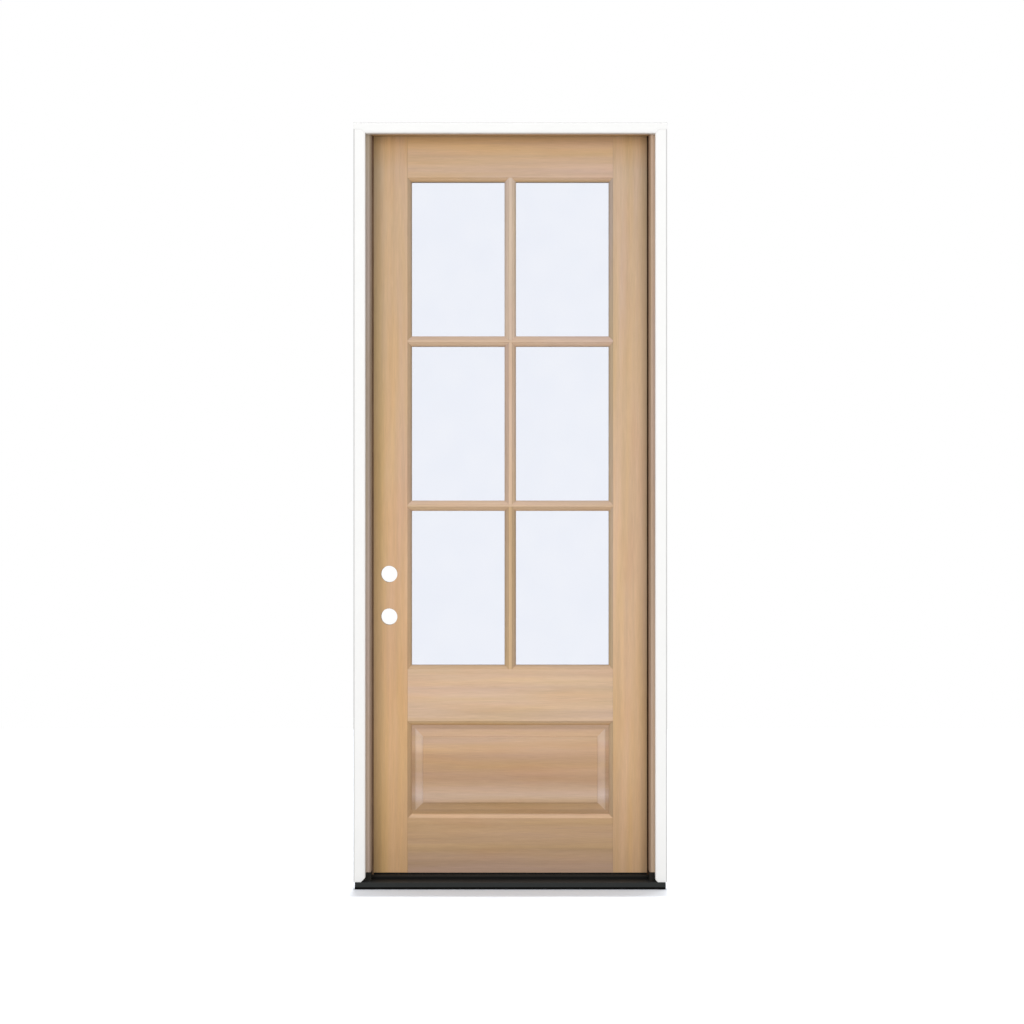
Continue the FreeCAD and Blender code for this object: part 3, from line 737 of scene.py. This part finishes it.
setScrews("thresholdScrews", "frame", screws["threshold"], capSpots, 7)
print("screw heads:", len(jambLeafSpots) + len(doorLeafSpots) + len(capSpots))


# camera, 9 m in front of the door's outside face
cameraLook = {
    "distance": 9.0, "doorFace": 0.07155, "aside": 0.0056, "height": 1.2212,
    "lens": 96.6, "sensor": 36.0, "clipEnd": 200,
}
camera = bpy.data.objects.new("camera", bpy.data.cameras.new("camera"))
cameraBack = cameraLook["doorFace"] - cameraLook["distance"]
camera.location = (cameraLook["aside"], cameraBack, cameraLook["height"])
camera.rotation_euler = (math.radians(90), 0, 0)
camera.data.lens = cameraLook["lens"]
camera.data.sensor_width = cameraLook["sensor"]
camera.data.clip_end = cameraLook["clipEnd"]
scene.collection.objects.link(camera)
scene.camera = camera


# two soft keys either side of the camera, and a weaker lamp for the room side
lamps = {
    "leftKey": {"azimuth": -21, "elevation": 9, "distance": 10.5, "wide": 3.6, "tall": 5.0, "power": 272},
    "rightKey": {"azimuth": 20, "elevation": 9, "distance": 10.5, "wide": 3.6, "tall": 5.0, "power": 263},
    "roomLamp": {"azimuth": 155, "elevation": 35, "distance": 7.5, "wide": 3.5, "tall": 3.5, "power": 240},
}
lampAim = Vector((0, 0.05, 1.35))
for name, look in lamps.items():
    lamp = bpy.data.objects.new(name, bpy.data.lights.new(name, "AREA"))
    across, up = math.radians(look["azimuth"]), math.radians(look["elevation"])
    away = Vector((math.sin(across) * math.cos(up), -math.cos(across) * math.cos(up), math.sin(up)))
    lamp.location = lampAim + away * look["distance"]
    lamp.rotation_euler = (-away).to_track_quat("-Z", "Y").to_euler()
    lamp.data.shape = "RECTANGLE"
    lamp.data.size, lamp.data.size_y = look["wide"], look["tall"]
    lamp.data.energy = look["power"]
    lamp.visible_camera = lamp.visible_glossy = lamp.visible_transmission = False
    scene.collection.objects.link(lamp)

# from just behind, for the shadow at the sill
overhead = {"lean": 4, "strength": 1.9, "softness": 1.4, "place": (0, 0.5, 5)}
overheadLamp = bpy.data.objects.new("overheadLamp", bpy.data.lights.new("overheadLamp", "SUN"))
overheadLamp.rotation_euler = (math.radians(-overhead["lean"]), 0, 0)
overheadLamp.location = overhead["place"]
overheadLamp.data.energy = overhead["strength"]
overheadLamp.data.angle = math.radians(overhead["softness"])
scene.collection.objects.link(overheadLamp)


def raySwitch(tree):
    # two 0 or 1 values: seen in the open or off gloss, and seen through glass
    path = addNode(tree, "ShaderNodeLightPath").outputs
    return calc(tree, "MAXIMUM", path["Is Camera Ray"], path["Is Glossy Ray"]), path["Is Transmission Ray"]


studio = {
    "skyBelow": 0.20, "skyAbove": 1.00,      # light from under and from overhead
    "floorHalf": 6.5, "floorDrop": 0.0006, "floorRough": 0.9,
    "floorSeen": (226, 230, 236), "floorThroughGlass": (189, 190, 191), "floorBounce": (140, 139, 138),
}
sky = bpy.data.worlds.new("studioSky")
sky.use_nodes = True
scene.world = sky
skyTree = sky.node_tree
skyNode = skyTree.nodes["Background"]
skyNode.inputs["Color"].default_value = (1, 1, 1, 1)
skyHeight = axes(skyTree, addNode(skyTree, "ShaderNodeTexCoord").outputs["Generated"])["Z"]
skyLight = spread(skyTree, skyHeight, studio["skyBelow"], studio["skyAbove"], -1.0, 1.0)
skyStrength = spread(skyTree, calc(skyTree, "MAXIMUM", *raySwitch(skyTree)), skyLight, 1.0)
skyTree.links.new(skyStrength, skyNode.inputs["Strength"])

half, drop = studio["floorHalf"], -studio["floorDrop"]
floorCorners = [(-half, -half, drop), (half, -half, drop), (half, half, drop), (-half, half, drop)]
floorMesh = bpy.data.meshes.new("floor")
floorMesh.from_pydata(floorCorners, [], [(0, 1, 2, 3)])
floorFinish, floorTree, floorShader = newFinish("paleFloor")
inOpen, throughGlass = raySwitch(floorTree)
floorTones = {name: toLinear(studio[name]) for name in ("floorSeen", "floorThroughGlass", "floorBounce")}
floorColour = mixColours(floorTree, "MIX", inOpen, floorTones["floorBounce"], floorTones["floorSeen"])
floorColour = mixColours(floorTree, "MIX", throughGlass, floorColour, floorTones["floorThroughGlass"])
floorTree.links.new(floorColour, floorShader.inputs["Base Color"])
floorShader.inputs["Roughness"].default_value = studio["floorRough"]
floorShader.inputs["Specular IOR Level"].default_value = 0.0
floorMesh.materials.append(floorFinish)
floor = bpy.data.objects.new("floor", floorMesh)
scene.collection.objects.link(floor)
scene.view_settings.view_transform = "Standard"
print("camera, lamps and floor set")
